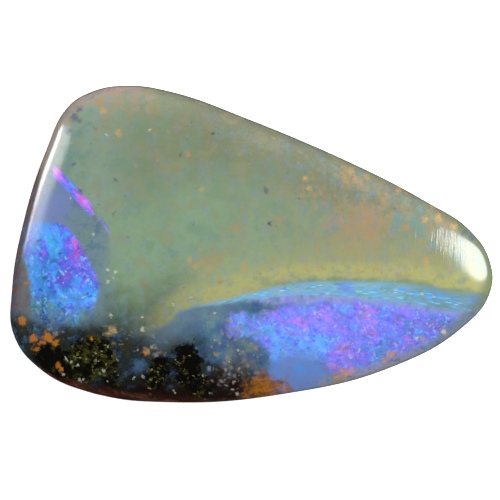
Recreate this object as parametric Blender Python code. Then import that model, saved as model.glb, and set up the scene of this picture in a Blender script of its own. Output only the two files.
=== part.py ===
"""A polished freeform boulder opal, a low-domed cabochon of one piece that lies on its ground back.

Metres, +Z up. The origin is on the surface that the stone rests on, under the middle of its
outline. +X runs along the stone towards its narrow end, and +Y across it.
"""

import math

import bmesh
import bpy
from mathutils import Vector

MM = 0.001

# Driving dimensions
LENGTH = 30.0 * MM
THICKNESS = 4.4 * MM
GIRDLE_HEIGHT = 2.0 * MM  # the widest line of the stone, above its back
GIRDLE_WANDER = 0.2 * MM  # how far that line rises and falls round a hand-ground stone
WALL_TAPER = 0.3 * MM  # how far the wall leans in between the girdle and the back's edge
BACK_EDGE = 0.5 * MM  # the worn edge round the back, about as wide as it is high
EDGE_WANDER = 0.15 * MM  # how much the width of that edge varies
RIM_WAVES = ((3, 0.67), (7, 0.33))  # slow waves round the rim: how many, and the share of each
GIRDLE_PHASE = 0.4
EDGE_PHASE = 2.0
DOME_FULLNESS = 2.35  # exponent of the dome's curve: 2 is an ellipse, more is a flatter top
CROWN = Vector((-1.6, -0.6)) * MM  # the highest point, seen from above
HOLLOW_LEAN = 0.2  # how far a hollow's pull leans towards the middle, as it rises to the girdle

# The rim from above, in millimetres about the middle of its box: the round corner at the upper
# left, the long straight side, the narrow end, the bowed lower side, the lower left corner and
# the left side.
RIM_POINTS_MM = (
    (-11.4, 8.5), (-9.95, 9.45), (-7.8, 9.85), (-5.1, 9.5),
    (-0.25, 7.8), (6.0, 5.15), (10.95, 2.6),
    (13.6, 0.85), (14.85, -1.1), (14.85, -3.05), (13.15, -5.2),
    (8.95, -7.6), (2.3, -9.3), (-5.0, -9.85), (-10.2, -9.2),
    (-13.25, -7.7), (-14.8, -5.6), (-14.9, -2.95),
    (-14.15, 1.5), (-12.7, 5.95),
)

# Natural hollows in the ironstone, on the wall and the back, that grinding did not reach:
# middle, radius and depth in millimetres.
HOLLOWS_MM = (
    ((-8.6, -9.2, 0.2), 2.3, 0.42),
    ((10.6, -6.2, 0.1), 1.7, 0.30),
    ((3.4, 5.9, 0.2), 2.0, 0.36),
    ((-14.2, 0.4, 0.3), 1.8, 0.30),
    ((-4.5, 2.4, 0.0), 2.6, 0.32),
)

# Fineness of the faceted solid
STEPS_PER_RIM_POINT = 6
DOME_RINGS = 11
WALL_RINGS = 4
EDGE_RINGS = 3
BACK_RINGS = 8

STONE_COLOUR = (0.21, 0.29, 0.22, 1.0)
STONE_ROUGHNESS = 0.08


def clear_scene():
    for obj in list(bpy.data.objects):
        bpy.data.objects.remove(obj)


def rim_outline():
    """Points round the rim, anticlockwise from above, scaled to LENGTH and centred on their box."""
    curve = bpy.data.curves.new("rim", "CURVE")
    curve.resolution_u = STEPS_PER_RIM_POINT
    spline = curve.splines.new("BEZIER")
    spline.bezier_points.add(len(RIM_POINTS_MM) - 1)
    for anchor, (x, y) in zip(spline.bezier_points, reversed(RIM_POINTS_MM)):
        anchor.co = (x, y, 0.0)
        anchor.handle_left_type = anchor.handle_right_type = "AUTO"
    spline.use_cyclic_u = True
    guide = bpy.data.objects.new("rim", curve)
    bpy.context.scene.collection.objects.link(guide)
    graph = bpy.context.evaluated_depsgraph_get()
    mesh = bpy.data.meshes.new_from_object(guide.evaluated_get(graph))
    points = [vertex.co.xy for vertex in mesh.vertices]
    bpy.data.objects.remove(guide)
    low = Vector((min(p.x for p in points), min(p.y for p in points)))
    high = Vector((max(p.x for p in points), max(p.y for p in points)))
    scale = LENGTH / (high.x - low.x)
    middle = (low + high) / 2
    return [(p - middle) * scale for p in points]


def outward_normals(rim):
    """The rim's unit normals, one for each point, pointing away from the stone."""
    normals = []
    for i, _ in enumerate(rim):
        along = rim[(i + 1) % len(rim)] - rim[i - 1]
        normals.append(Vector((along.y, -along.x)).normalized())
    return normals


def wander(angle, phase):
    """A slow ripple round the hand-ground stone, between about -1 and 1."""
    return sum(share * math.sin(waves * (angle + phase)) for waves, share in RIM_WAVES)


def section(angle):
    """The stone's section at this angle round it, from the crown to the back's middle.

    Each ring is (reach from the crown to the rim, inset from the rim, height).
    """
    girdle = GIRDLE_HEIGHT + GIRDLE_WANDER * wander(angle, GIRDLE_PHASE)
    edge_width = BACK_EDGE + EDGE_WANDER * wander(angle, EDGE_PHASE)
    rings = []
    for i in range(DOME_RINGS + 1):
        # Rings crowd towards the rim, where the dome turns over.
        reach = math.sin(math.pi / 2 * i / DOME_RINGS)
        rise = (1.0 - reach**DOME_FULLNESS) ** (1.0 / DOME_FULLNESS)
        rings.append((reach, 0.0, girdle + (THICKNESS - girdle) * rise))
    for i in range(1, WALL_RINGS + 1):
        share = i / WALL_RINGS
        rings.append((1.0, WALL_TAPER * share**2, girdle + (BACK_EDGE - girdle) * share))
    for i in range(1, EDGE_RINGS + 1):
        turned = math.pi / 2 * i / EDGE_RINGS
        inset = WALL_TAPER + edge_width * (1.0 - math.cos(turned))
        rings.append((1.0, inset, BACK_EDGE * (1.0 - math.sin(turned))))
    for i in range(1, BACK_RINGS + 1):
        share = 1.0 - i / BACK_RINGS
        rings.append((share, (WALL_TAPER + edge_width) * share, 0.0))
    return rings


def hollowed(point):
    """The point, pushed into the stone where a natural hollow reaches it."""
    for middle, radius, depth in HOLLOWS_MM:
        middle = Vector(middle) * MM
        nearness = 1.0 - (point - middle).length_squared / (radius * MM) ** 2
        if nearness > 0.0:
            lean = Vector((-middle.x, -middle.y, 0.0)) * HOLLOW_LEAN
            inward = (lean + Vector((0.0, 0.0, GIRDLE_HEIGHT))).normalized()
            point = point + inward * depth * MM * nearness**2
    return point


def stone_mesh():
    """A UV sphere whose rings and segments are moved onto the stone's section and outline."""
    rim = rim_outline()
    normals = outward_normals(rim)
    sections = [section(math.atan2(point.y, point.x)) for point in rim]
    last_ring = len(sections[0]) - 1
    bm = bmesh.new()
    bmesh.ops.create_uvsphere(bm, u_segments=len(rim), v_segments=last_ring, radius=1.0)
    for vertex in bm.verts:
        turn = math.atan2(vertex.co.y, vertex.co.x) / (2 * math.pi)
        down = math.acos(max(-1.0, min(1.0, vertex.co.z))) / math.pi
        segment = round(turn * len(rim)) % len(rim)
        reach, inset, height = sections[segment][round(down * last_ring)]
        flat = CROWN + (rim[segment] - CROWN) * reach - normals[segment] * inset
        vertex.co = hollowed(Vector((flat.x, flat.y, height)))
    mesh = bpy.data.meshes.new("boulder_opal")
    bm.to_mesh(mesh)
    bm.free()
    mesh.shade_smooth()
    return mesh


def opal_material():
    material = bpy.data.materials.new("polished_opal")
    material.use_nodes = True
    shader = material.node_tree.nodes["Principled BSDF"]
    shader.inputs["Base Color"].default_value = STONE_COLOUR
    shader.inputs["Roughness"].default_value = STONE_ROUGHNESS
    shader.inputs["Metallic"].default_value = 0.0
    return material


def main():
    clear_scene()
    collection = bpy.data.collections.new("boulder_opal")
    bpy.context.scene.collection.children.link(collection)
    stone = bpy.data.objects.new("boulder_opal", stone_mesh())
    stone.data.materials.append(opal_material())
    collection.objects.link(stone)


main()
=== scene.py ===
"""The looks of a polished freeform boulder opal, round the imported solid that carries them.

The stone is modelled finely, given its opal, its seams and its ironstone, and laid on a pale
table between two window lamps, with a camera straight above it. Places and lengths in the lists
and in the materials are millimetres from the middle of the outline; Blender's own are metres.
"""

import math

import bmesh
import bpy
import numpy as np
from mathutils import Color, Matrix, Vector, kdtree, noise


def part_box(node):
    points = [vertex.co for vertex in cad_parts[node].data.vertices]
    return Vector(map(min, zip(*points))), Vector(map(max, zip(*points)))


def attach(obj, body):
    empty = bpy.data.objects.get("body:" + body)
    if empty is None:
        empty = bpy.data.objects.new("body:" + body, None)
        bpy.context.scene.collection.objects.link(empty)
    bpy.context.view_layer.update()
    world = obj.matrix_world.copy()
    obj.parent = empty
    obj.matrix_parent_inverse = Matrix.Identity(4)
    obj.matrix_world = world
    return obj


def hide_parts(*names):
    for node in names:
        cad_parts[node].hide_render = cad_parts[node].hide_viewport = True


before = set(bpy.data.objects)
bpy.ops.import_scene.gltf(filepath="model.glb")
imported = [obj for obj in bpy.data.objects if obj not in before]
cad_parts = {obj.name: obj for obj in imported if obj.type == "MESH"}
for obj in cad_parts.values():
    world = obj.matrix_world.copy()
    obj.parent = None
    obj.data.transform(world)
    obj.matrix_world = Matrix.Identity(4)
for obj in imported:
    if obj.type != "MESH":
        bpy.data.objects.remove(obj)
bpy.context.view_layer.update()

bl_info = {
    "name": "Boulder Opal",
    "version": (1, 0, 0),
    "blender": (4, 5, 0),
    "location": "3D View > Sidebar > Opal",
    "description": "Models a polished boulder opal and sets it on a pale table",
    "category": "Object",
}

MM = 0.001
NODE = "boulder_opal"
LOW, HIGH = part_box(NODE)
LENGTH = (HIGH.x - LOW.x) / MM
THICKNESS = (HIGH.z - LOW.z) / MM

# The stone's form, as the solid has it
GIRDLE_WANDER = 0.2
WALL_TAPER = 0.3
BACK_EDGE = 0.5
EDGE_WANDER = 0.15
RIM_WAVES = ((3, 0.67), (7, 0.33))  # slow waves round the rim: how many, and the share of each
GIRDLE_PHASE = 0.4
EDGE_PHASE = 2.0
CROWN = np.array((-1.6, -0.6))
HOLLOW_LEAN = 0.2
RIM = (
    (-11.4, 8.5), (-9.95, 9.45), (-7.8, 9.85), (-5.1, 9.5),
    (-0.25, 7.8), (6.0, 5.15), (10.95, 2.6),
    (13.6, 0.85), (14.85, -1.1), (14.85, -3.05), (13.15, -5.2),
    (8.95, -7.6), (2.3, -9.3), (-5.0, -9.85), (-10.2, -9.2),
    (-13.25, -7.7), (-14.8, -5.6), (-14.9, -2.95),
    (-14.15, 1.5), (-12.7, 5.95),
)
HOLLOWS = (
    ((-8.6, -9.2, 0.2), 2.3, 0.42),
    ((10.6, -6.2, 0.1), 1.7, 0.30),
    ((3.4, 5.9, 0.2), 2.0, 0.36),
    ((-14.2, 0.4, 0.3), 1.8, 0.30),
    ((-4.5, 2.4, 0.0), 2.6, 0.32),
)

# Fineness of the stone's mesh
RIM_SEGMENTS = 480
DOME_RINGS = 110
WALL_RINGS = 22
EDGE_RINGS = 8
BACK_RINGS = 40
LINE_SPACING = 0.05
CURVE_STEPS = 32  # between two given points
CORNER_EVERY = 4  # points of a dense outline, where its inside is told from its outside
NEAR = 1e-4

# The ironstone's grit: how far under the girdle it starts, how fast it then grows to its full
# depth, how many grains go to a millimetre, and the height under which it pushes upwards
GRIT_TOP = 0.2
GRIT_FADE = 0.6
COARSE_GRAINS = 1.1
FINE_GRAINS = 4.0
FOOT = 0.3

# Lines and outlines in the opal, seen from above
SEAM = (
    (-16.0, -4.2), (-14.2, -4.4), (-12.9, -4.9), (-11.6, -5.0), (-9.9, -4.9), (-8.3, -5.2),
    (-6.9, -5.5), (-5.9, -5.3), (-5.05, -4.75), (-4.5, -4.25), (-3.7, -3.85), (-2.1, -3.55),
    (-0.9, -3.2), (0.85, -2.75), (2.85, -2.4), (5.5, -2.3), (8.3, -2.35), (9.9, -2.5),
    (12.3, -2.95), (14.3, -3.2), (16.0, -3.5),
)
FIRE = (
    (-1.45, -4.75), (-0.7, -4.3), (0.25, -4.5), (1.25, -4.1), (3.0, -3.7), (5.15, -3.55),
    (7.15, -3.65), (8.95, -3.75), (10.5, -4.05), (12.25, -4.5), (13.35, -4.9), (13.1, -5.65),
    (11.7, -6.2), (9.95, -6.8), (8.65, -7.4), (7.15, -8.0), (5.85, -8.2), (4.65, -7.7),
    (3.8, -7.35), (3.05, -7.6), (2.1, -7.7), (1.3, -7.2), (0.75, -6.15), (-0.25, -5.65),
    (-1.05, -5.55),
)
LOBE = (
    (-13.25, 1.3), (-12.65, 1.35), (-11.65, 1.2), (-10.85, 0.55), (-10.3, -0.3), (-9.8, -1.25),
    (-9.45, -2.1), (-9.4, -2.9), (-9.6, -3.6), (-10.1, -4.3), (-10.45, -4.8), (-11.5, -5.15),
    (-12.65, -5.15), (-13.35, -4.5), (-13.5, -3.15), (-13.7, -1.75), (-14.05, -0.75),
    (-14.1, -0.1),
)
HALO = (
    (-12.25, 4.6), (-10.9, 3.35), (-9.65, 1.95), (-8.9, 1.25), (-8.7, 0.45), (-8.7, -0.75),
    (-8.7, -2.25), (-8.8, -3.65), (-9.4, -4.85), (-11.3, -5.65), (-13.75, -5.65), (-15.1, -3.5),
    (-14.7, -0.35), (-13.75, 2.45), (-13.0, 4.0),
)
BAR = (
    (-12.6, 4.95), (-12.2, 4.55), (-11.5, 3.85), (-10.65, 2.95), (-9.6, 1.85), (-9.05, 1.25),
    (-8.8, 0.8),
)

# Soft spots in the face, by what they mark, each (x, y, radius, strength)
SPOTS = {
    "tan": (
        (-8.6, 9.0, 1.3, 0.55), (-6.4, 9.1, 1.2, 0.35), (7.2, 1.4, 1.5, 0.6), (7.3, 0.2, 1.3, 0.4),
        (3.6, 3.2, 0.9, 0.4), (5.6, 1.6, 1.2, 0.3), (1.6, 1.2, 1.2, 0.25), (-0.9, 0.3, 0.9, 0.45),
        (9.4, 3.4, 1.3, 0.35), (6.1, 4.0, 1.0, 0.45), (4.9, 0.0, 1.6, 0.35), (12.2, 1.3, 1.1, 0.6),
        (-2.6, -1.2, 1.1, 0.5), (10.6, -1.0, 1.0, 0.35),
    ),
    "teal": (
        (4.6, 0.6, 1.1, 0.55), (9.3, 1.0, 1.3, 0.75), (6.6, 3.9, 0.8, 0.6), (10.8, 2.7, 1.1, 0.6),
        (-11.3, 5.4, 1.2, 0.7), (-5.0, -0.5, 1.0, 0.5), (0.9, 3.3, 0.6, 0.6),
        (-10.4, 7.4, 1.0, 0.5), (11.6, 0.4, 0.9, 0.6),
    ),
    "blots": (
        (-12.5, -7.0, 1.0, 1.0), (-11.6, -7.6, 0.9, 1.0), (-10.5, -7.9, 0.9, 0.9),
        (-10.6, -6.9, 0.7, 0.6), (-9.6, -6.2, 0.9, 0.8), (-9.0, -7.2, 0.9, 0.9),
        (-3.9, -6.8, 0.75, 1.1), (-5.6, -7.3, 0.6, 0.7), (-5.9, -8.3, 0.8, 0.9),
        (-3.9, -7.9, 0.9, 0.9), (-8.3, -8.6, 0.9, 0.6), (-3.0, -9.0, 1.0, 0.6),
    ),
    "flecks": (
        (-0.7, -6.7, 1.2, 0.9), (-1.4, -7.9, 1.0, 0.8), (0.3, -7.2, 0.7, 0.7),
        (-1.3, -4.7, 0.8, 0.35), (-8.2, -5.3, 0.8, 0.7), (-6.7, -5.2, 0.8, 0.6),
        (-5.9, -6.3, 0.9, 0.35), (-6.6, -7.6, 1.2, 0.15), (-12.3, -5.6, 0.8, 0.5),
        (8.6, -7.1, 0.6, 0.7), (12.2, -6.0, 0.8, 0.4), (6.1, -8.2, 0.6, 0.9), (6.1, -6.5, 0.5, 0.5),
        (5.3, -8.5, 0.6, 0.8),
    ),
    "rusty": (
        (-14.1, -4.8, 0.5, 0.9), (-13.5, -5.8, 0.5, 0.8), (-12.4, -5.9, 0.7, 1.0),
        (-13.2, -6.5, 0.4, 0.8), (-13.9, -1.4, 0.35, 0.5), (-13.8, -2.4, 0.4, 0.8),
        (-13.5, -3.4, 0.35, 0.6), (-9.4, -5.6, 0.5, 0.4), (5.9, -8.6, 0.8, 1.0),
        (4.6, -8.9, 0.7, 0.8),
    ),
    "haze": (
        (3.0, -8.0, 1.6, 1.0), (2.3, -8.6, 1.1, 0.6), (4.2, -8.5, 1.0, 0.7), (1.4, -7.6, 0.8, 0.4),
    ),
    "amber": (
        (1.2, -8.95, 0.9, 1.0), (0.2, -9.15, 0.9, 0.9), (2.0, -9.0, 0.5, 0.5),
    ),
    "milk": (
        (-12.1, 2.1, 1.0, 1.0), (-13.3, 1.5, 0.8, 0.9), (-13.8, 0.4, 0.6, 0.7),
        (-11.6, 3.1, 0.7, 0.5),
    ),
    "scratches": (
        (9.9, 0.6, 0.5, 0.4), (11.6, 0.4, 0.8, 0.8), (12.2, -0.2, 0.8, 0.5),
    ),
    # Where the band under the seam glows: below nothing is turquoise, above it is periwinkle
    "glow": (
        (0.9, -2.95, 0.9, -0.7), (1.9, -2.9, 0.7, 0.5), (5.7, -2.65, 0.8, 0.8),
        (3.6, -2.8, 1.0, -0.4), (11.0, -3.05, 0.9, -0.6), (12.3, -3.35, 1.0, -0.5),
        (13.8, -3.4, 0.5, 0.9), (8.0, -2.8, 0.8, -0.3),
    ),
    # The hue of the fire: below nothing is bluer, above it is pinker
    "hue": (
        (-12.5, 0.6, 0.9, -0.4), (-12.0, -0.6, 0.6, -0.25), (-10.9, 0.0, 0.5, 0.5),
        (-10.4, -0.6, 0.45, 0.45), (-10.9, -1.0, 0.6, 0.25), (-11.3, -2.0, 0.3, 0.7),
        (-12.8, -0.5, 0.3, 0.45), (-12.8, -1.1, 0.3, 0.4), (-9.9, -2.2, 0.7, 0.1),
        (-9.8, -3.1, 0.7, -0.4), (-13.3, -1.4, 0.8, -0.45), (-13.0, -3.8, 0.9, -0.6),
        (-11.9, -3.3, 0.9, -0.25), (-10.4, -4.6, 0.5, -0.9), (-11.6, -4.5, 0.7, -0.3),
        (-11.1, 1.1, 0.4, 0.55), (-12.8, 0.0, 0.3, 0.3), (-11.9, 4.5, 0.45, 0.5),
        (-11.2, 3.6, 0.4, -0.1), (-10.3, 2.8, 0.6, 0.55), (-9.1, 1.4, 0.4, 0.15),
        (-0.6, -4.7, 0.9, -0.15), (0.3, -5.2, 0.9, -0.15), (1.3, -5.2, 0.5, -0.3),
        (1.5, -6.4, 0.9, -0.1), (2.6, -6.0, 0.8, -0.15), (3.6, -6.8, 1.0, -0.3),
        (2.1, -7.3, 0.8, -0.15), (4.6, -6.2, 0.7, -0.1), (2.6, -4.2, 0.9, 0.25),
        (3.6, -4.9, 0.6, 0.3), (4.9, -4.4, 0.9, 0.2), (5.9, -5.1, 0.9, 0.1), (5.8, -6.6, 0.8, 0.35),
        (7.4, -4.9, 0.7, 0.3), (7.1, -4.1, 0.8, 0.2), (4.9, -7.6, 0.5, 0.45), (5.9, -7.9, 0.5, 0.5),
        (8.3, -7.0, 0.9, -0.1), (9.3, -5.6, 0.9, 0.1), (10.8, -5.0, 0.4, 0.35),
        (11.3, -5.4, 0.9, 0.05),
    ),
    # How bright the fire is there, above or below the rest
    "light": (
        (-12.3, 0.7, 0.8, 0.25), (-9.9, -3.5, 0.7, 0.35), (-13.3, -4.2, 0.9, -0.5),
        (-12.0, -4.7, 0.9, -0.45), (-9.9, -4.2, 0.4, -0.5), (-12.9, -2.2, 0.6, -0.1),
        (8.3, -7.1, 0.9, -0.3), (10.6, -5.4, 0.9, -0.3), (11.9, -5.3, 0.8, -0.3),
        (2.8, -5.6, 1.0, 0.2), (4.5, -5.6, 1.0, 0.25), (-0.3, -5.3, 0.7, -0.2),
        (1.6, -4.4, 1.3, 0.15), (6.3, -4.6, 1.6, 0.1),
    ),
}

# How far the polished ironstone comes in from the rim, as soft spots of the same kind
IRONSTONE_SPOTS = (
    (-13.2, -8.2, 1.3, 0.5), (-11.0, -9.0, 1.5, 0.7), (-8.6, -9.4, 1.5, 0.75),
    (-6.0, -9.8, 1.5, 0.75), (-3.4, -9.8, 1.4, 0.6), (-1.0, -9.7, 1.2, 0.45),
    (1.4, -9.5, 1.0, 0.25), (-15.0, -3.0, 1.6, 0.15),
)
CONTACT_DEPTH = 0.6  # how far below the girdle the ironstone meets the opal, away from those spots

# Single specks in the polished face, each (x, y, radius), by colour
SPECKS = {
    "ochre": (
        (-8.1, 6.8, 0.2), (-9.1, 8.2, 0.2), (-3.0, 3.3, 0.13), (3.35, 4.0, 0.16), (3.6, 3.4, 0.14),
        (-3.8, -1.0, 0.14), (-3.4, -1.3, 0.16), (-3.0, -1.1, 0.13), (-2.6, -1.6, 0.15),
        (-2.9, -1.9, 0.11), (-0.5, -1.45, 0.2), (11.5, 1.6, 0.26), (10.7, 1.5, 0.2),
        (12.5, 1.05, 0.24), (-8.5, -5.25, 0.22), (-8.7, -5.5, 0.12), (10.7, -1.1, 0.22),
    ),
    "rust": (
        (-9.3, 8.75, 0.3), (-8.4, 9.25, 0.2), (-7.2, 8.85, 0.18), (-9.5, 6.9, 0.14),
        (-11.2, 7.55, 0.13), (-3.9, 5.5, 0.18), (-0.8, 1.0, 0.22), (6.1, 4.5, 0.24),
        (6.35, 3.9, 0.2), (7.1, 4.15, 0.22), (9.15, 3.4, 0.18), (9.5, 1.0, 0.22), (11.2, 2.2, 0.12),
        (-1.9, -2.3, 0.16), (7.25, 1.5, 0.2), (7.3, 0.6, 0.22), (7.1, 1.9, 0.16), (-14.5, 1.3, 0.2),
        (-6.4, -6.6, 0.2), (12.1, -5.6, 0.1),
    ),
    "smoke": (
        (-10.6, 8.3, 0.17), (-10.9, 7.8, 0.24), (-10.6, 7.6, 0.14), (-11.3, 6.9, 0.2),
        (-8.3, 3.9, 0.1), (-10.5, 3.2, 0.14), (-10.9, 4.9, 0.1), (0.9, 3.3, 0.2), (13.2, 0.7, 0.18),
        (13.6, 0.4, 0.16),
    ),
    "flame": (
        (-14.15, -4.75, 0.24), (-13.5, -5.8, 0.18), (-12.5, -5.7, 0.24), (-12.05, -6.1, 0.2),
        (-12.8, -6.05, 0.14), (-11.9, -7.5, 0.2), (-11.75, -7.75, 0.12), (-13.2, -6.5, 0.14),
        (-9.8, -5.85, 0.12), (-6.5, -6.7, 0.12), (-13.9, -2.4, 0.14),
    ),
    "peach": (
        (5.3, -8.2, 0.2), (5.8, -7.95, 0.24), (6.3, -7.8, 0.2), (5.5, -7.75, 0.14),
        (8.6, -6.8, 0.2), (8.3, -7.2, 0.18), (9.0, -6.7, 0.12), (10.6, -5.9, 0.12),
    ),
    "cream": (
        (-11.4, -7.1, 0.11), (-11.1, -7.3, 0.1), (-10.7, -7.45, 0.08), (-11.6, -8.05, 0.13),
        (-10.6, -8.4, 0.1), (-10.3, -8.35, 0.08), (-9.1, -7.8, 0.09), (-8.9, 6.75, 0.06),
        (-6.2, 7.0, 0.06), (-3.7, -3.3, 0.07), (-4.8, -3.7, 0.07), (-6.65, -4.45, 0.07),
        (-11.1, 2.8, 0.06), (-9.7, 0.6, 0.06), (-8.8, -1.6, 0.09), (-8.3, -1.75, 0.08),
        (-8.4, -2.1, 0.08), (-8.75, -2.35, 0.09), (-8.6, -4.35, 0.07), (-6.65, -5.15, 0.11),
        (-7.2, -8.2, 0.06), (-4.75, -9.1, 0.06), (-2.55, -9.25, 0.06), (-0.9, -9.25, 0.07),
        (11.9, -5.4, 0.15), (6.65, -6.5, 0.1), (10.5, -3.05, 0.1), (10.2, -5.75, 0.1),
    ),
}
CRISP_SPECKS = ("flame", "cream")  # the others have softer edges
UNEVEN_SPECKS = ("ochre", "rust", "peach")  # worn thin in places

# Grains and strokes: two colours to draw from, how strongly they cover what lies below, how dense
# they are, and their look, which is how many go to a millimetre, their size in their cells, their
# stretch, their turn and a seed
FIRE_STROKES = (
    ("periwinkle", "periwinkle", 0.6, 0.3, 3.4, 0.46, 1.5, 0.3, 33.0),
    ("azure", "glint", 0.7, 0.34, 4.6, 0.46, 2.0, 0.85, 3.0),
    ("orchid", "thread", 0.6, 0.32, 6.0, 0.46, 1.6, -0.6, 29.0),
    ("slate", "ash", 0.7, 0.16, 2.6, 0.4, 1.5, -0.7, 7.0),
)
# The lobe's grow denser further down, by the number after their density
LOBE_STROKES = (
    ("navy", "navy", 0.65, 0.05, 0.4, 3.2, 0.42, 1.8, -0.6, 9.0),
    ("azure", "thread", 0.85, 0.12, 0.45, 4.2, 0.42, 2.6, 0.95, 2.0),
    ("periwinkle", "glint", 0.85, 0.08, 0.4, 5.4, 0.44, 2.2, -0.75, 16.0),
)
# After their density, the place along the seam that they keep to, or None
SEAM_THREADS = (
    ("azure", "thread", 0.9, 0.6, None, 6.5, 0.38, 9.0, 0.03, 1.0),
    ("azure", "thread", 0.9, 0.75, None, 10.0, 0.44, 6.0, 0.03, 6.0),
    ("azure", "thread", 0.9, 0.5, None, 8.0, 0.42, 4.5, 0.03, 15.0),
    ("periwinkle", "thread", 0.9, 0.8, 1.2, 6.5, 0.46, 4.0, 0.2, 27.0),
    ("glint", "glint", 1.0, 0.14, None, 7.5, 0.38, 3.5, 0.05, 12.0),
)
# The density and the look of the grit in the blots, and the looks alone of four other kinds
BLOT_GRIT = ((0.4, 3.8, 0.38, 1.5, 0.6, 21.0), (0.6, 6.5, 0.5, 1.5, 0.6, 25.0))
POTCH_FLECKS = (2.6, 0.42, 1.4, 1.3, 4.0)
GROUND_FLECKS = (2.9, 0.5, 1.3, 0.5, 5.0)
GROUND_SPECKS = (3.6, 0.4, 1.0, 0.0, 14.0)
ROCK_DUST = (3.5, 0.4, 1.0, 0.0, 40.0)

# Colours that a value runs through from 0 to 1
FIRE_TINTS = (
    (0.0, "turquoise"), (0.12, "azure"), (0.34, "azure"), (0.52, "periwinkle"), (0.76, "violet"),
    (1.0, "orchid"),
)
GRIT_TINTS = ((0.0, "murk"), (0.5, "moss"), (0.88, "olive"), (1.0, "cream"))
ROCK_BANDS = ((0.3, "dark_ironstone_and_edge_shade"), (0.5, "ironstone"), (0.74, "ironstone_light"))

# How closely clouds of noise are packed along each axis: less than 1 draws them out
UPRIGHT = (1.0, 0.3, 1.0)
DRAWN_OUT = (0.6, 2.2, 1.0)
BEDDED = (0.5, 0.5, 2.2)
POLISHING_LINES = (9.0, 0.5, 1.0)

POLISHED, GROUND = 0.16, 0.56  # roughness of the face, and of the wall and the back
SCRATCH_DEPTH = 0.024

# The lamps: name, the stage's setting for the power, azimuth and elevation in degrees, then
# distance, width and height in metres
LAMPS = (
    ("right_window", "right_power", 16.0, 32.0, 0.4, 0.28, 0.34),
    ("left_window", "left_power", 160.8, 12.0, 0.4, 0.1, 0.11),
    ("left_glow", "glow_power", 160.5, 27.0, 0.4, 0.1, 0.21),
    ("overhead", "fill_power", 90.0, 89.0, 0.5, 0.5, 0.5),
)
DAYLIGHT = (0.92, 0.96, 1.0)
TABLE_SIZE = 0.6
TABLE_GLOW = 0.85
ROOM_DIMMEST = 0.06  # share of the room's light that its darkest side keeps
CAMERA_OVER = (-0.075, -0.37)  # the place on the stone that the camera is over
CAMERA_CLIP = 0.005


def linear(red, green, blue):
    """A colour given as a screen shows it, from 0 to 255, as the shaders take it."""
    return tuple(Color((red / 255, green / 255, blue / 255)).from_srgb_to_scene_linear())


def colour(name, description, red, green, blue):
    return bpy.props.FloatVectorProperty(
        name=name, description=description, subtype="COLOR", size=3, min=0.0, max=1.0,
        default=linear(red, green, blue),
    )


class StoneForm(bpy.types.PropertyGroup):
    girdle: bpy.props.FloatProperty(
        name="Girdle height", description="Height of the widest line above the back, in millimetres",
        default=2.0, min=0.5, max=4.0,
    )
    fullness: bpy.props.FloatProperty(
        name="Dome fullness", default=2.35, min=1.5, max=6.0,
        description="Exponent of the dome's curve; 2 is an ellipse, more is flatter",
    )
    grit: bpy.props.FloatProperty(
        name="Ironstone grit", default=0.07, min=0.0, max=0.3,
        description="Depth of the rough grain on the wall and the back, in millimetres",
    )


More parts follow.
